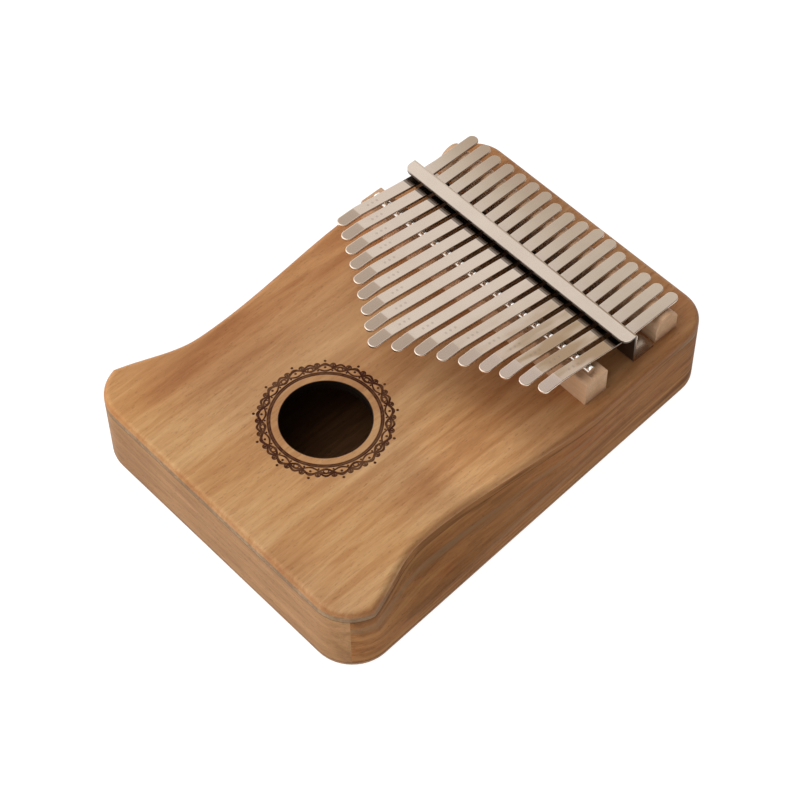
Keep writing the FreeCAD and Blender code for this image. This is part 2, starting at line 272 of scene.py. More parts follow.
class Paint(Graph):
    """The node tree of a new material."""

    def __init__(self, name: str) -> None:
        """Makes an empty material.

        Args:
            name: The material's name.
        """
        self.material = bpy.data.materials.new(name)
        self.material.use_nodes = True
        super().__init__(self.material.node_tree)
        self.tree.nodes.clear()

    def surface(self, **inputs: Any) -> bpy.types.Material:
        """Ends the material with a Principled shader.

        Args:
            **inputs: Values or links of the shader's sockets, by name.

        Returns:
            The finished material.
        """
        shader = self.node("ShaderNodeBsdfPrincipled", None, **inputs)
        self.node("ShaderNodeOutputMaterial", None, Surface=shader.outputs[0])
        return self.material


# ---------------------------------------------------------------------------
# Finishes
# ---------------------------------------------------------------------------


@dataclass(frozen=True)
class Rosette:
    """The ring burned into the wood round the sound hole, a plain border of scallops and dots."""

    centre: tuple[float, float]
    hole_radius: float
    motifs: int = 13
    line: float = 0.00023
    inner_rings: tuple[float, float] = (1.185, 1.225)
    scallop_middle: float = 1.36
    scallop_swing: float = 0.075
    return_share: float = 0.8
    return_gap: float = 0.03
    ripple_swing: float = 0.035
    ripple_gap: float = 0.06
    bead_radius: float = 1.44
    finial_radius: float = 1.535
    curl_line: float = 0.009
    curl_soft: float = 0.010
    dot_edge: tuple[float, float] = (0.75, 1.15)

    def mask(self, graph: Graph, x: Value, y: Value) -> Value:
        """The burned lines, 1 where the wood is burned.

        Args:
            graph: The material's graph.
            x: The place across.
            y: The place along.

        Returns:
            The mask.
        """
        across = (x - self.centre[0]) / self.hole_radius
        along = (y - self.centre[1]) / self.hole_radius
        radius = graph.math("SQRT", across * across + along * along)
        turn = graph.math("ARCTAN2", along, across)
        wave = graph.math("COSINE", turn * self.motifs)
        double = graph.math("COSINE", turn * (2 * self.motifs))
        thin = self.line / self.hole_radius
        burned = graph.line(radius, self.inner_rings[0], thin, thin)
        burned = burned.either(graph.line(radius, self.inner_rings[1], thin, thin))
        scallop = radius - wave * self.scallop_swing
        answer = radius + wave * self.scallop_swing * self.return_share
        ripple = radius - double * self.ripple_swing
        waves = (
            (scallop, self.scallop_middle, 1.5),
            (answer, self.scallop_middle - self.return_gap, 1.0),
            (ripple, self.scallop_middle + self.ripple_gap, 1.4),
        )
        for place, middle, weight in waves:
            burned = burned.either(graph.line(place, middle, weight * thin, thin))
        for count, ring, size, shift in self.beads():
            distance = self.from_motif(radius, turn, count, ring, shift)
            dot = 1.0 - graph.step(distance, size * self.dot_edge[0], size * self.dot_edge[1])
            burned = burned.either(dot)
        for count, ring, size, shift in self.curls():
            distance = self.from_motif(radius, turn, count, ring, shift)
            burned = burned.either(graph.line(distance, size, self.curl_line, self.curl_soft))
        return burned

    def curls(self) -> list[tuple[int, float, float, float]]:
        """Rows of small rings: how many, on which radius, how large and how far turned."""
        step = 2 * math.pi / self.motifs
        return [
            (self.motifs * 2, self.bead_radius - 0.01, 0.050, step / 4),
            (self.motifs, self.scallop_middle - 0.035, 0.055, step / 2),
        ]

    def beads(self) -> list[tuple[int, float, float, float]]:
        """Rows of dots: how many, on which radius, how large and how far turned."""
        step = 2 * math.pi / self.motifs
        return [
            (self.motifs, self.finial_radius, 0.032, 0.0),
            (self.motifs * 2, self.bead_radius, 0.034, step / 4),
            (self.motifs * 2, self.scallop_middle - 0.075, 0.024, step / 4),
            (self.motifs, self.scallop_middle + 0.005, 0.030, 0.0),
        ]

    @staticmethod
    def from_motif(radius: Value, turn: Value, count: int, ring: float, shift: float) -> Value:
        """How far a place is from the nearest of a row of small motifs round the hole.

        Args:
            radius: The distance from the hole's middle, in hole radii.
            turn: The angle round the hole.
            count: How many motifs there are.
            ring: The radius that their middles sit on.
            shift: How far the row is turned.

        Returns:
            The distance, in hole radii.
        """
        graph = radius.graph
        side = graph.math("PINGPONG", turn - shift, math.pi / count) * ring
        away = radius - ring
        return graph.math("SQRT", side * side + away * away)


Spot = tuple[Value, Value, Value]
Tone = Callable[[Graph, Spot, Socket], Socket]


@dataclass(frozen=True)
class Wood:
    """An oiled wood with clouds, bands, streaks, fibres and pores.

    Each scale is features per metre, first across the grain and then along it.
    """

    name: str
    light: Colour
    middle: Colour
    dark: Colour
    grain: Grain = Grain.ALONG
    streaks: float = 0.55
    pores: float = 0.35
    roughness: float = 0.46
    sheen: float = 0.12
    relief: float = 0.00005
    tone: Tone | None = None
    burn: Rosette | None = None
    burned_colour: Colour = (0.055, 0.012, 0.004)
    cloud_scale: tuple[float, float] = (24, 11)
    band_scale: tuple[float, float] = (75, 8)
    streak_scale: tuple[float, float] = (430, 34)
    fibre_scale: tuple[float, float] = (2000, 200)
    pore_scale: tuple[float, float] = (3000, 480)
    band_share: float = 0.46
    streak_share: float = 0.18
    cloud_share: float = 0.36
    tone_places: tuple[float, float, float] = (0.36, 0.49, 0.63)
    fibre_shade: float = 0.55
    pore_shade: float = 0.32
    burn_dullness: float = 0.45
    burn_depth: float = 3.0

    def stretched(self, scale: tuple[float, float]) -> Colour:
        """A scale laid along the board's grain.

        Args:
            scale: Features per metre across the grain and along it.

        Returns:
            Features per metre along X, Y and Z.
        """
        across, along = scale
        if self.grain is Grain.ALONG:
            return (across, along, across)
        return (along, across, across)

    def make(self) -> bpy.types.Material:
        """Builds the material."""
        graph = Paint(self.name)
        place = graph.place()
        spot = graph.parts(place)
        bands = graph.noise(place, self.stretched(self.band_scale), 3, 0.55, 1.2)
        streak = graph.noise(place, self.stretched(self.streak_scale), 3, 0.6, 0.5)
        fibre = graph.noise(place, self.stretched(self.fibre_scale), 3, 0.6)
        pore = graph.step(graph.noise(place, self.stretched(self.pore_scale), 2, 0.5), 0.60, 0.72)
        cloud = graph.noise(place, self.stretched(self.cloud_scale), 3, 0.5, 0.5)
        ramp = graph.node(
            "ShaderNodeValToRGB",
            {"stops": list(zip(self.tone_places, (self.dark, self.middle, self.light)))},
            n0=bands * self.band_share + streak * self.streak_share + cloud * self.cloud_share,
        ).outputs[0]
        colour = graph.mix(graph.step(streak, 0.62, 0.36) * self.streaks, ramp, self.dark)
        colour = graph.mix((fibre - 0.5) * 0.5 + 0.1, colour, scaled(self.dark, self.fibre_shade))
        colour = graph.mix(pore * self.pores, colour, scaled(self.dark, self.pore_shade))
        if self.tone is not None:
            colour = self.tone(graph, spot, colour)
        rough = self.roughness + (streak - 0.5) * 0.16 + pore * 0.16 + (fibre - 0.5) * 0.10
        height = fibre * 0.5 + streak * 0.5 - pore * 0.9
        if self.burn is not None:
            on_top = graph.step(spot[2], BODY_TOP - 0.0003, BODY_TOP - 0.0001)
            burned = self.burn.mask(graph, spot[0], spot[1]) * on_top
            burned = burned * (0.85 + 0.15 * graph.step(streak, 0.35, 0.6))
            colour = graph.mix(burned, colour, self.burned_colour)
            rough = rough + burned * self.burn_dullness
            height = height - burned * self.burn_depth
        return graph.surface(
            Base_Color=colour, Roughness=rough, Specular_IOR_Level=self.sheen,
            Normal=graph.bump(height, self.relief),
        )


@dataclass(frozen=True)
class Steel:
    """A metal with brushed lines and faint handling marks."""

    name: str
    colour: Colour
    shade: Colour
    roughness: float
    brush: Colour
    metallic: float = 1.0
    relief: float = 0.000004
    smudge_scale: float = 90

    def make(self) -> bpy.types.Material:
        """Builds the material."""
        graph = Paint(self.name)
        place = graph.place()
        lines = graph.noise(place, self.brush, 3, 0.6)
        smudge = graph.noise(place, (self.smudge_scale,) * 3, 3, 0.6, 0.4)
        mottle = graph.step(smudge, 0.35, 0.75) * 0.45 + (lines - 0.5) * 0.5
        colour = graph.mix(mottle, self.colour, self.shade)
        rough = self.roughness + (lines - 0.5) * 0.06 + (smudge - 0.5) * 0.05
        colour, rough, height = self.worked(graph, place, colour, rough, lines)
        return graph.surface(
            Base_Color=colour, Metallic=self.metallic, Roughness=rough,
            Normal=graph.bump(height, self.relief),
        )

    def worked(self, graph: Graph, place: Socket, colour: Socket, rough: Value,
               height: Value) -> tuple[Socket, Value, Value]:
        """Adds a piece's own marks and tones. Plain steel has none.

        Args:
            graph: The material's graph.
            place: The point on the surface.
            colour: The steel's colour so far.
            rough: Its roughness so far.
            height: Its relief so far.

        Returns:
            The colour, the roughness and the relief.
        """
        return colour, rough, height


@dataclass(frozen=True, kw_only=True)
class TineSteel(Steel):
    """The tines' steel: punched dots and a duller pressed tip, with painted light: a highlight on the rim,
    golden reflections on the right-hand blades, darker reflections on the tails, tip colours that differ left
    to right, and a shadow beside the lip.

    A mask's edge is a pair of places: where it starts to change and where it has changed.
    """

    lip_y: float
    lip_shadow: Colour = (0.070, 0.062, 0.056)
    lip_shadow_reach: float = 0.0031
    golden_painted_reflection: Colour = (0.34, 0.225, 0.125)
    golden_edge: tuple[float, float] = (0.008, 0.040)
    blade_edge: tuple[float, float] = (0.052, 0.048)
    tail_painted_reflection: Colour = (0.97, 0.96, 0.92)
    tail_edge: tuple[float, float] = (0.058, 0.064)
    left_tail_painted_reflection: Colour = (0.66, 0.60, 0.54)
    left_tip_finish_and_reflection: Colour = (0.46, 0.35, 0.27)
    right_tip_finish_and_reflection: Colour = (0.60, 0.48, 0.41)
    pressed_edge: tuple[float, float] = (0.0084, 0.0090)
    dots_middle: float = 0.0165
    dots_half_length: float = 0.0034
    dots_half_pitch: float = 0.0011
    dot_edge: tuple[float, float] = (0.00042, 0.00058)
    half_width: float = 0.00235
    rim_edge: tuple[float, float] = (0.00185, 0.00215)
    dot_shade: float = 0.45
    dot_depth: float = 3.0
    rim_highlight: float = 1.25

    def worked(self, graph: Graph, place: Socket, colour: Socket, rough: Value,
               height: Value) -> tuple[Socket, Value, Value]:
        """Adds the tines' marks, and their painted reflections, highlight and shadow.

        Args:
            graph: The material's graph.
            place: The point on the surface.
            colour: The steel's colour so far.
            rough: Its roughness so far.
            height: Its relief so far.

        Returns:
            The colour, the roughness and the relief.
        """
        dots, tip, rim = self.marks(graph)
        x, y, _ = graph.parts(place)
        # Painted reflection: a blotchy golden tint on the right-hand blades, between the lip and the tip.
        right = graph.step(x, *self.golden_edge)
        warm = right * (1.0 - tip) * graph.step(y, *self.blade_edge)
        reflection_blotch = 0.45 + 0.55 * graph.step(graph.noise(place, (150, 30, 150), 2), 0.40, 0.58)
        colour = graph.mix(warm * reflection_blotch * 0.85, colour, self.golden_painted_reflection)
        # Painted reflection: the tails behind the lip are darker, the left-hand ones most.
        tail = graph.step(y, *self.tail_edge)
        colour = graph.mix(tail, colour, self.tail_painted_reflection, "MULTIPLY")
        left_tail = tail * graph.step(y, 0.060, 0.082) * (1.0 - graph.step(x, -0.03, 0.05))
        colour = graph.mix(left_tail * 0.8, colour, self.left_tail_painted_reflection, "MULTIPLY")
        # The pressed tip is duller steel; its colour differs left to right by a painted reflection.
        colour = graph.mix(tip * 0.85, colour, graph.mix(right, self.left_tip_finish_and_reflection, self.right_tip_finish_and_reflection))
        beside = graph.line(y, self.lip_y, self.lip_shadow_reach, 0.0003)
        colour = graph.mix(beside * 0.78, colour, self.lip_shadow)
        colour = graph.mix(dots * 0.30, colour, scaled(self.shade, self.dot_shade))
        # Painted highlight along the rim, strongest round the tip.
        colour = graph.mix(rim * 0.85, colour, scaled(self.colour, self.rim_highlight))
        return colour, rough + dots * 0.15 + tip * 0.08, height - dots * self.dot_depth

    def marks(self, graph: Graph) -> tuple[Value, Value, Value]:
        """The punched dots near each tine's tip, its duller pressed tip and its rim, where a highlight is
        painted.

        Args:
            graph: The material's graph.

        Returns:
            The masks of the dots, of the tip and of the rim.
        """
        strip = graph.node("ShaderNodeUVMap", {"uv_map": STRIP_MAP}).outputs[0]
        across, along, _ = graph.parts(strip)
        row = graph.math("PINGPONG", along - self.dots_middle, self.dots_half_pitch)
        inside = graph.line(along, self.dots_middle, self.dots_half_length, 0.0001)
        distance = graph.math("SQRT", row * row + across * across)
        dots = (1.0 - graph.step(distance, *self.dot_edge)) * inside
        pressed = 1.0 - graph.step(along, *self.pressed_edge)
        round_end = graph.math("MINIMUM", along - self.half_width, 0.0)
        outwards = graph.math("SQRT", across * across + round_end ** 2)
        rim = graph.step(outwards, *self.rim_edge) * (0.25 + 0.75 * pressed)
        return dots, pressed * (1.0 - rim), rim


@dataclass(frozen=True, kw_only=True)
class BracketSteel(Steel):
    """The bracket's steel, with painted shade under its lip and on the lip's front edge, and painted brown
    reflections of the wood on its back and along the lip's bend.
    """

    lip_top: float
    front_edge: float
    wall_y: float
    bright_rim: float
    underside_shade: Colour = (0.085, 0.066, 0.052)
    back_wood_reflection: Colour = (0.34, 0.25, 0.17)
    front_edge_shade: Colour = (0.46, 0.40, 0.35)
    bend_wood_reflection: Colour = (0.25, 0.165, 0.092)

    def worked(self, graph: Graph, place: Socket, colour: Socket, rough: Value,
               height: Value) -> tuple[Socket, Value, Value]:
        """Adds the bracket's painted shade and painted reflections.

        Args:
            graph: The material's graph.
            place: The point on the surface.
            colour: The steel's colour so far.
            rough: Its roughness so far.
            height: Its relief so far.

        Returns:
            The colour, the roughness and the relief.
        """
        x, y, z = graph.parts(place)
        below = self.lip_top - self.bright_rim
        under = 1.0 - graph.step(z, below - 0.0001, below + 0.0001)
        ahead = 1.0 - graph.step(y, self.wall_y, self.wall_y + 0.0002)
        # Painted shade ahead of the wall, lower than a thin rim at the lip's top: the lip's front face and
        # the steel below it.
        colour = graph.mix(under * ahead * 0.9, colour, self.underside_shade)
        # Painted reflection of the wood, in brown, on the bracket's back below the lip's top rim.
        colour = graph.mix(under * (1.0 - ahead) * 0.55, colour, self.back_wood_reflection)
        # Painted shade along the lip's front edge.
        edge = 1.0 - graph.step(y, self.front_edge + 0.0001, self.front_edge + 0.0003)
        colour = graph.mix(edge * (1.0 - under), colour, self.front_edge_shade)
        # Painted reflection of the wood, in brown, along the lip's bend, stronger to the right.
        bend = graph.step(y, self.wall_y - 0.0010, self.wall_y - 0.0004) * (1.0 - under)
        colour = graph.mix(bend * (0.45 + 0.45 * graph.step(x, -0.04, 0.03)), colour, self.bend_wood_reflection)
        return colour, rough + under * ahead * 0.22, height


def face_tone(graph: Graph, spot: Spot, colour: Socket) -> Socket:
    """Lays veins and pale sapwood over the board, with a darker, redder tint towards the back right that is
    partly the wood's own and partly painted shade, a painted golden band of light near the front, and painted
    shade on its rolled edge.

    Args:
        graph: The material's graph.
        spot: The place on the surface.
        colour: The wood's colour so far.

    Returns:
        The toned colour.
    """
    heartwood_and_shade, vein_brown, pale_gold = (0.80, 0.70, 0.60), (0.74, 0.58, 0.46), (0.76, 0.455, 0.22)
    sapwood_lift, left_tan, painted_light_gold = (1.36, 1.44, 1.44), (0.95, 0.84, 0.72), (1.0, 0.88, 0.66)
    rolled_edge_shade, rolled_depth = (0.70, 0.55, 0.45), 0.0009
    sapwood_middle, sapwood_half = (0.044, -0.012), (0.030, 0.020)
    x, y, z = spot
    # Partly the wood's own colour and partly painted shade: darker and redder towards the back right.
    reach = graph.step(y + x * 0.45, -0.035, 0.058)
    colour = graph.mix(reach * 0.70, colour, heartwood_and_shade, "MULTIPLY")
    here = graph.joined(x, y, z)
    vein = graph.noise(here, (105, 6, 40), 3, 0.5, 0.9)
    colour = graph.mix(graph.step(vein, 0.56, 0.66) * 0.42, colour, vein_brown, "MULTIPLY")
    pale = graph.noise(here, (38, 7, 40), 2, 0.5, 0.6)
    colour = graph.mix(graph.step(pale, 0.52, 0.68) * 0.42, colour, pale_gold)
    aside = (x - sapwood_middle[0]) / sapwood_half[0]
    ahead = (y - sapwood_middle[1]) / sapwood_half[1]
    sapwood = 1.0 - graph.step(graph.math("SQRT", aside * aside + ahead * ahead), 0.40, 1.20)
    colour = graph.mix(sapwood, colour, sapwood_lift, "MULTIPLY")
    left = graph.step(x, -0.030, -0.055)
    colour = graph.mix(left, colour, left_tan, "MULTIPLY")
    # Painted light: a soft golden band near the front.
    front_light_band = 1.0 - graph.step(abs(y + 0.080 - x * 0.35), 0.004, 0.040)
    colour = graph.mix(front_light_band * 0.30, colour, painted_light_gold, "SOFT_LIGHT")
    # Painted shade on the rolled edge.
    rolled = 1.0 - graph.step(z, BODY_TOP - rolled_depth, BODY_TOP - 0.0001)
    colour = graph.mix(rolled * 0.60, colour, rolled_edge_shade, "MULTIPLY")
    return bored_wall(graph, spot, colour)


def bored_wall(graph: Graph, spot: Spot, colour: Socket) -> Socket:
    """Paints the wall of the sound hole near-black.

    Args:
        graph: The material's graph.
        spot: The place on the surface.
        colour: The wood's colour so far.

    Returns:
        The toned colour.
    """
    x, y, _ = spot
    centre = FACE_LOW.y + HOLE_FROM_FRONT
    radius = graph.math("SQRT", x * x + (y - centre) * (y - centre))
    wall = 1.0 - graph.step(radius, HOLE_RADIUS + 0.0001, HOLE_RADIUS + 0.0004)
    near_black = (0.012, 0.007, 0.005)
    return graph.mix(wall, colour, near_black)


def core_tone(graph: Graph, spot: Spot, colour: Socket) -> Socket:
    """Stains the core where the scooped sides cut through it, and paints the sound hole's wall near-black.

    Args:
        graph: The material's graph.
        spot: The place on the surface.
        colour: The wood's colour so far.

    Returns:
        The toned colour.
    """
    from_end, to_scoop = 0.006, 0.030
    x, y, _ = spot
    side = graph.step(abs(x), 0.044, 0.056)
    side = side * graph.step(y, FACE_LOW.y + from_end, FACE_LOW.y + to_scoop)
    side = side * (1.0 - graph.step(y, FACE_HIGH.y - to_scoop, FACE_HIGH.y - from_end))
    colour = graph.mix(side, colour, side_colour(graph))
    return bored_wall(graph, spot, colour)


def side_colour(graph: Graph) -> Socket:
    """The side boards' colour, for the core where it shows in the scoops.

    Args:
        graph: The material's graph.

    Returns:
        The colour.
    """
    dark, light = (0.22, 0.092, 0.032), (0.39, 0.175, 0.064)
    grain = graph.noise(graph.place(), (520, 12, 520), 4, 0.62, 0.3)
    return graph.mix(graph.step(grain, 0.3, 0.7), dark, light)


def inside_tone(graph: Graph, spot: Spot, colour: Socket) -> Socket:
    """Paints shade on the inside of the box.

    Args:
        graph: The material's graph.
        spot: The place on the surface.
        colour: The wood's colour so far.

    Returns:
        The toned colour.
    """
    inner_floor, darkening = 0.0033, (0.46, 0.40, 0.36)
    # Painted shade on the back and brace wherever they lie higher than 3.3 mm, inside the box.
    inside = graph.step(spot[2], inner_floor, inner_floor + 0.00015)
    return graph.mix(inside, colour, darkening, "MULTIPLY")


def side_tone(graph: Graph, spot: Spot, colour: Socket) -> Socket:
    """Adds the reddish stains and the brown and orange bands of the scooped sides.

    Args:
        graph: The material's graph.
        spot: The place on the surface.
        colour: The wood's colour so far.

    Returns:
        The toned colour.
    """
    reddish, brown, orange = (0.72, 0.46, 0.34), (0.30, 0.185, 0.098), (0.50, 0.245, 0.090)
    here = graph.joined(*spot)
    darkening = graph.noise(here, (60, 26, 60), 4, 0.6, 0.8)
    colour = graph.mix(graph.step(darkening, 0.48, 0.70) * 0.45, colour, reddish, "MULTIPLY")
    band = graph.noise(here, (20, 9, 240), 3, 0.55, 0.4)
    colour = graph.mix(graph.step(band, 0.52, 0.66) * 0.55, colour, brown)
    colour = graph.mix(graph.step(band, 0.46, 0.34) * 0.50, colour, orange)
    return board_joints(graph, spot, colour)


def board_joints(graph: Graph, spot: Spot, colour: Socket) -> Socket:
    """Darkens the glue lines above and below the upright boards.

    Args:
        graph: The material's graph.
        spot: The place on the surface.
        colour: The wood's colour so far.

    Returns:
        The toned colour.
    """
    glue = (0.42, 0.34, 0.28)
    low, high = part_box("front_end_board")
    lower = graph.line(spot[2], low.z, 0.00016, 0.00025)
    upper = graph.line(spot[2], high.z, 0.00020, 0.00030)
    return graph.mix(lower.either(upper) * 0.75, colour, glue, "MULTIPLY")


# ---------------------------------------------------------------------------
# Modelling by operators
# ---------------------------------------------------------------------------


class Bench:
    """Short calls round the modelling operators."""

    @staticmethod
    def clear() -> None:
        """Leaves nothing selected and object mode on."""
        if bpy.context.object is not None and bpy.context.object.mode != "OBJECT":
            bpy.ops.object.mode_set(mode="OBJECT")
        bpy.ops.object.select_all(action="DESELECT")

    @staticmethod
    def pick(obj: bpy.types.Object, test: Callable[[Vector], bool]) -> int:
        """Selects the vertices whose place passes a test, in edit mode.

        Args:
            obj: The object in edit mode.
            test: Tells whether a vertex is wanted.

        Returns:
            How many vertices were selected.
        """
        mesh = bmesh.from_edit_mesh(obj.data)
        bpy.ops.mesh.select_mode(type="VERT")
        for face in mesh.faces:
            face.select_set(False)
        chosen = 0
        for vertex in mesh.verts:
            wanted = test(vertex.co)
            vertex.select_set(wanted)
            chosen += wanted
        mesh.select_flush(True)
        bmesh.update_edit_mesh(obj.data)
        return chosen

    @staticmethod
    def modifier(obj: bpy.types.Object, kind: str, **settings: Any) -> None:
        """Adds a modifier and applies it.

        Args:
            obj: The object.
            kind: The modifier's type.
            **settings: Its settings.
        """
        made = obj.modifiers.new(kind.lower(), kind)
        for name, value in settings.items():
            setattr(made, name, value)
        bpy.context.view_layer.objects.active = obj
        bpy.ops.object.modifier_apply(modifier=made.name)

    @staticmethod
    def turned(angle: float, centre: Vector) -> None:
        """Turns the selection about the X axis through a centre, positive lifting what is ahead.

        Args:
            angle: The angle in radians.
            centre: A point on the axis.
        """
        bpy.ops.transform.rotate(value=angle, orient_axis="X", orient_type="GLOBAL",
                                 center_override=tuple(centre))

    @staticmethod
    def settle(obj: bpy.types.Object, angle: float) -> None:
        """Puts the object's place in its mesh and smooths it by angle.

        Args:
            obj: The object.
            angle: The smallest angle that stays sharp, in radians.
        """
        Bench.clear()
        obj.select_set(True)
        bpy.context.view_layer.objects.active = obj
        bpy.ops.object.transform_apply(location=True, rotation=True, scale=True)
        bpy.ops.object.shade_smooth_by_angle(angle=angle)


# ---------------------------------------------------------------------------
# The pieces
# ---------------------------------------------------------------------------


@dataclass
class Tines:
    """Seventeen bent steel strips, each held over the rod and free at its tip."""

    count: int = 17
    width: float = 0.0047
    thickness: float = 0.0011
    bend_y: float = BRACKET_WALL_Y
    rise: float = math.radians(9.76)
    droop: float = math.radians(9.0)
    tip_length: float = 0.009
    edge: float = 0.00028
    edge_segments: int = 3
    corner_segments: int = 7
    tip_corner: float = 0.0023
    rear_corner: float = 0.0023
    row_length: float = 0.0031
    bend_steps: tuple[float, ...] = (-0.0012, 0.0, 0.0012)

    def names(self) -> list[str]:
        """The tines' names in order from the left."""
        return [f"tine_{i + 1:02d}" for i in range(self.count)]

    def model(self, name: str) -> bpy.types.Object:
        """Models one tine in its place.

        Args:
            name: The tine's name.

        Returns:
            The tine's object.
        """
        tip_low, tip_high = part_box(f"{name}_blade")
        tail_low, tail_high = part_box(f"{name}_tail")
        middle_x = (tip_low.x + tip_high.x) / 2
        bend_z = tail_low.z + self.thickness / 2
        knee_y = tip_low.y + self.tip_length
        slope = self.rise - self.droop
        held = tail_high.y - self.bend_y
        rising = (self.bend_y - knee_y) / math.cos(self.rise)
        tip = self.tip_length / math.cos(slope)
        length = held + rising + tip
        rows = int(length / self.row_length)
        Bench.clear()
        bpy.ops.mesh.primitive_grid_add(x_subdivisions=1, y_subdivisions=rows, size=1,
                                        location=(0, -length / 2, 0))
        strip = bpy.context.object
        strip.name = name
        bpy.ops.transform.resize(value=(self.width, length, 1))
        bpy.ops.object.transform_apply(location=True, rotation=True, scale=True)
        bpy.ops.object.mode_set(mode="EDIT")
        self.round_corners(strip, length)
        self.bend(strip, held + rising, -self.droop)
        self.bend(strip, held, self.rise)
        bpy.ops.mesh.select_all(action="SELECT")
        bpy.ops.transform.translate(value=(middle_x, tail_high.y, bend_z))
        bpy.ops.object.mode_set(mode="OBJECT")
        Bench.modifier(strip, "SOLIDIFY", thickness=self.thickness, offset=0.0, use_even_offset=True)
        Bench.modifier(strip, "BEVEL", width=self.edge, segments=self.edge_segments,
                       limit_method="ANGLE", angle_limit=math.radians(50))
        Bench.settle(strip, math.radians(40))
        Bench.modifier(strip, "WEIGHTED_NORMAL", mode="FACE_AREA", weight=100)
        self.lay_strip(strip, middle_x, tip_low.y)
        return strip

    def round_corners(self, strip: bpy.types.Object, length: float) -> None:
        """Rounds the two corners of each end of the flat strip.

        Args:
            strip: The strip in edit mode.
            length: The strip's length.
        """
        for end, corner in ((-length, self.tip_corner), (0.0, self.rear_corner)):
            Bench.pick(strip, lambda p: abs(p.y - end) < NEAR)
            bpy.ops.mesh.bevel(offset=corner, affect="VERTICES", segments=self.corner_segments, profile=0.5)

    def bend(self, strip: bpy.types.Object, distance: float, angle: float) -> None:
        """Bends the strip, over a few short steps.

        Args:
            strip: The strip in edit mode.
            distance: How far from its rear end the bend is.
            angle: The bend in radians, positive upwards.
        """
        for shift in self.bend_steps:
            line = -(distance + shift)
            bpy.ops.mesh.select_all(action="SELECT")
            bpy.ops.mesh.bisect(plane_co=(0, line, 0), plane_no=(0, 1, 0))
        for shift in self.bend_steps:
            self.turn_beyond(strip, distance + shift, angle / len(self.bend_steps))

    def turn_beyond(self, strip: bpy.types.Object, distance: float, angle: float) -> None:
        """Turns what lies beyond a distance from the rear end, about that line.

        Args:
            strip: The strip in edit mode.
            distance: How far from its rear end the line is.
            angle: The turn in radians, positive upwards.
        """
        mesh = bmesh.from_edit_mesh(strip.data)
        line = min((v.co for v in mesh.verts), key=lambda p: abs(p.y + distance)).copy()
        count = Bench.pick(strip, lambda p: p.y < line.y - NEAR)
        if count:
            Bench.turned(angle, Vector((0, line.y, line.z)))

    def lay_strip(self, strip: bpy.types.Object, middle_x: float, tip_y: float) -> None:
        """Lays a map on the strip, across from its middle and along from its tip.

        Args:
            strip: The strip.
            middle_x: The place of its middle line.
            tip_y: The place of its tip.
        """
        layer = strip.data.uv_layers.get(STRIP_MAP) or strip.data.uv_layers.new(name=STRIP_MAP)
        for loop in strip.data.loops:
            place = strip.data.vertices[loop.vertex_index].co
            layer.data[loop.index].uv = (place.x - middle_x, place.y - tip_y)

    def dress(self, finish: bpy.types.Material) -> None:
        """Builds every tine, gives it its finish and hides the imported blade and tail that it replaces.

        Args:
            finish: The tines' material.
        """
        for name in self.names():
            strip = self.model(name)
            strip.data.materials.clear()
            strip.data.materials.append(finish)
            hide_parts(f"{name}_blade", f"{name}_tail")
            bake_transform(strip)
            LOG.info("%s: %d faces", name, len(strip.data.polygons))


@dataclass
class Box:
    """The hollow box: soundboard, frame boards, back and brace."""

    finishes: dict[str, bpy.types.Material] = field(default_factory=dict)

    def make_finishes(self) -> None:
        """Makes the woods of the box."""
        rosette = Rosette((0.0, FACE_LOW.y + HOLE_FROM_FRONT), HOLE_RADIUS)
        self.finishes["face"] = Wood(
            "honey_face_wood", (0.68, 0.400, 0.195), (0.560, 0.290, 0.125), (0.40, 0.175, 0.066),
            tone=face_tone, burn=rosette, sheen=0.20, streaks=0.30, pores=0.28,
        ).make()
        self.finishes["core"] = Wood(
            "pale_core_wood", (0.43, 0.285, 0.165), (0.34, 0.22, 0.125), (0.23, 0.14, 0.078),
            tone=core_tone, roughness=0.6, sheen=0.04,
        ).make()
        self.finishes["side"] = Wood(
            "warm_side_wood", (0.43, 0.190, 0.070), (0.30, 0.126, 0.044), (0.165, 0.068, 0.023),
            tone=side_tone, sheen=0.03, roughness=0.58, streaks=0.36,
        ).make()
        self.finishes["end"] = Wood(
            "warm_end_wood", (0.50, 0.270, 0.118), (0.40, 0.205, 0.084), (0.27, 0.127, 0.049),
            Grain.ACROSS, sheen=0.06, streaks=0.30, tone=board_joints,
        ).make()
        self.finishes["back"] = Wood(
            "plain_back_wood", (0.46, 0.25, 0.12), (0.37, 0.19, 0.086), (0.24, 0.115, 0.048),
            tone=inside_tone,
        ).make()

    def dress(self) -> None:
        """Gives each board its finish."""
        self.make_finishes()
        boards = {
            "soundboard_face": "face", "soundboard_core": "core", "front_end_board": "end",
            "rear_end_board": "end", "left_side_board": "side", "right_side_board": "side",
            "back_plate": "back", "inner_brace": "back",
        }
        for node, finish in boards.items():
            dress_node(node, self.finishes[finish])


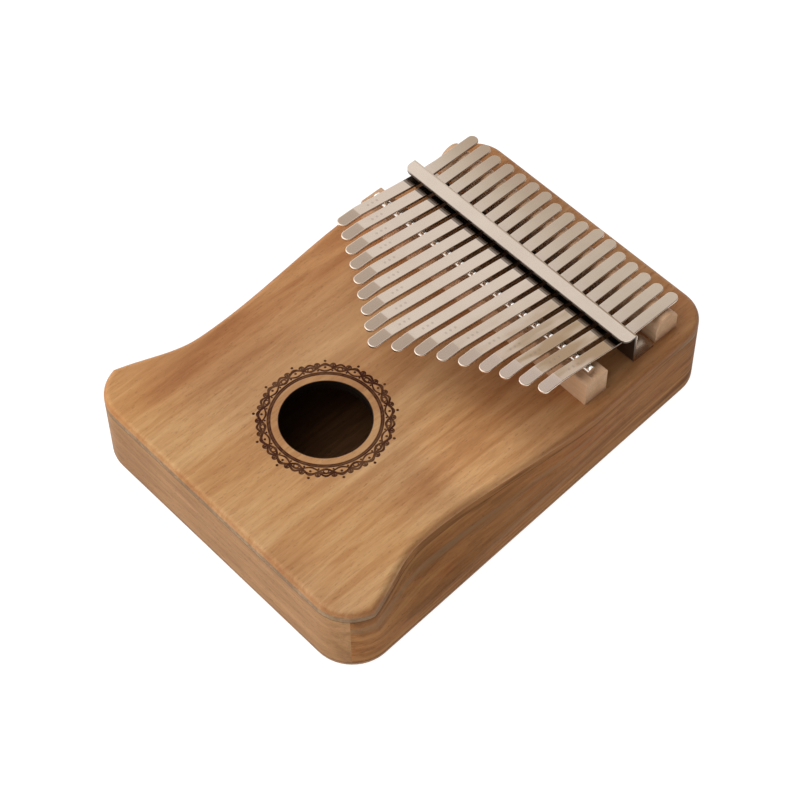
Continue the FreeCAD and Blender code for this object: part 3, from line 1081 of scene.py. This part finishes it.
@dataclass
class Hardware:
    """The bridges, the rod, the bracket and its screws."""

    bright_rim: float = 0.00035
    wall_y: float = BRACKET_WALL_Y

    def bracket_finish(self) -> bpy.types.Material:
        """Makes the bracket's steel from the bracket's own box."""
        low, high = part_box("pressure_bracket")
        return BracketSteel(
            "brushed_bracket_steel", (0.79, 0.675, 0.575), (0.71, 0.60, 0.51), 0.20, (40, 2600, 2600),
            lip_top=high.z, front_edge=low.y, wall_y=self.wall_y, bright_rim=self.bright_rim,
        ).make()

    def dress(self) -> None:
        """Gives each fixed piece of the tines' holder its finish."""
        maple = Wood(
            "pale_bridge_wood", (0.74, 0.485, 0.305), (0.66, 0.41, 0.245), (0.54, 0.31, 0.17),
            Grain.ACROSS, streaks=0.22, pores=0.14, roughness=0.5, relief=0.00002,
        ).make()
        bracket = self.bracket_finish()
        polished = Steel(
            "polished_rod_steel", (0.86, 0.83, 0.79), (0.72, 0.68, 0.63), 0.12, (60, 1800, 1800),
        ).make()
        black = Steel(
            "black_screw_steel", (0.030, 0.029, 0.030), (0.055, 0.050, 0.048), 0.34, (500, 500, 500),
            metallic=0.6,
        ).make()
        finishes = {
            "front_bridge": maple, "rear_bridge": maple, "pressure_bracket": bracket,
            "saddle_rod": polished, "bracket_screws": black,
        }
        for node, finish in finishes.items():
            dress_node(node, finish)


def dress_node(node: str, finish: bpy.types.Material) -> None:
    """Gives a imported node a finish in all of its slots.

    Args:
        node: The node's name.
        finish: The material.
    """
    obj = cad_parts[node]
    if not obj.material_slots:
        obj.data.materials.append(finish)
    for slot in obj.material_slots:
        slot.material = finish
    LOG.info("%s: %s", node, finish.name)


# ---------------------------------------------------------------------------
# The studio
# ---------------------------------------------------------------------------


@dataclass
class Studio:
    """The floor, the lights and the camera."""

    azimuth: float = 47.63
    elevation: float = 53.924
    roll: float = -0.803
    distance: float = 0.853061
    shift_right: float = -0.003811
    shift_up: float = 0.004637
    lens: float = 104.68
    sensor_width: float = 36.0
    clip_start: float = 0.01
    key_place: tuple[float, float, float] = (-0.95, -0.95, 1.8)
    key_size: float = 3.0
    key_power: float = 27.0
    room_colour: tuple[float, float, float, float] = (1.0, 0.985, 0.97, 1.0)
    room_light: float = 0.16
    left_light: float = 0.40
    low_left_light: float = 0.44
    front_light: float = 0.30
    floor_size: float = 6.0
    floor_gap: float = 0.0001
    floor_light: float = 0.95

    def camera(self) -> None:
        """Places the camera and makes it the scene's."""
        turn, lift, roll = (math.radians(v) for v in (self.azimuth, self.elevation, self.roll))
        back = Vector((math.sin(turn) * math.cos(lift), -math.cos(turn) * math.cos(lift), math.sin(lift)))
        right = Vector((math.cos(turn), math.sin(turn), 0.0))
        up = back.cross(right)
        across = right * math.cos(roll) + up * math.sin(roll)
        upward = up * math.cos(roll) - right * math.sin(roll)
        data = bpy.data.cameras.new("camera")
        data.lens = self.lens
        data.sensor_width = self.sensor_width
        data.clip_start = self.clip_start
        camera = bpy.data.objects.new("camera", data)
        camera.location = back * self.distance + across * self.shift_right + upward * self.shift_up
        camera.rotation_euler = Matrix((across, upward, back)).transposed().to_euler()
        bpy.context.scene.collection.objects.link(camera)
        bpy.context.scene.camera = camera

    def floor(self) -> None:
        """Lays the pale floor."""
        Bench.clear()
        bpy.ops.mesh.primitive_plane_add(size=self.floor_size, location=(0, 0, -self.floor_gap))
        floor = bpy.context.object
        floor.name = "floor"
        graph = Paint("pale_floor")
        grain = graph.noise(graph.place(), (3, 3, 3), 2)
        colour = graph.mix(grain * 0.04, (0.22, 0.22, 0.22), (0.20, 0.20, 0.20))
        floor.data.materials.append(graph.surface(
            Base_Color=colour, Roughness=0.9, Specular_IOR_Level=0.0,
            Emission_Color=(1, 1, 1, 1), Emission_Strength=self.floor_light,
        ))

    @staticmethod
    def lamp(name: str, place: tuple[float, float, float], size: float, power: float) -> None:
        """Hangs a soft square lamp that points at the object.

        Args:
            name: The lamp's name.
            place: Where it hangs.
            size: The length of its side.
            power: Its power in watts.
        """
        data = bpy.data.lights.new(name, "AREA")
        data.shape = "SQUARE"
        data.size = size
        data.energy = power
        lamp = bpy.data.objects.new(name, data)
        lamp.location = place
        lamp.rotation_euler = (-Vector(place)).to_track_quat("-Z", "Y").to_euler()
        bpy.context.scene.collection.objects.link(lamp)

    def light(self) -> None:
        """Sets up a pale room, brighter low down on the left and in front, and one soft lamp."""
        world = bpy.data.worlds.new("room")
        world.use_nodes = True
        room = Graph(world.node_tree)
        background = world.node_tree.nodes["Background"]
        across, along, height = room.parts(room.node("ShaderNodeTexCoord").outputs["Generated"])
        left = 1.0 - room.step(across, -0.35, 0.45)
        low = 1.0 - room.step(height, 0.68, 0.92)
        front = room.step(along, 0.0, -0.8)
        bright = self.room_light + left * self.left_light
        bright = bright + left * low * self.low_left_light + front * self.front_light
        world.node_tree.links.new(bright.socket, background.inputs[1])
        background.inputs[0].default_value = self.room_colour
        bpy.context.scene.world = world
        self.lamp("key", self.key_place, self.key_size, self.key_power)
        bpy.context.scene.view_settings.view_transform = "Standard"


def main() -> None:
    """Builds and dresses the thumb piano, one sub-assembly after another."""
    logging.basicConfig(level=logging.INFO, format="%(name)s: %(message)s")
    studio = Studio()
    studio.camera()
    studio.floor()
    studio.light()
    Box().dress()
    Hardware().dress()
    satin = TineSteel(
        "satin_tine_steel", (0.665, 0.555, 0.465), (0.60, 0.495, 0.41), 0.15, (2400, 60, 2400),
        lip_y=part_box("pressure_bracket")[0].y,
    )
    Tines().dress(satin.make())


if __name__ == "__main__":
    main()
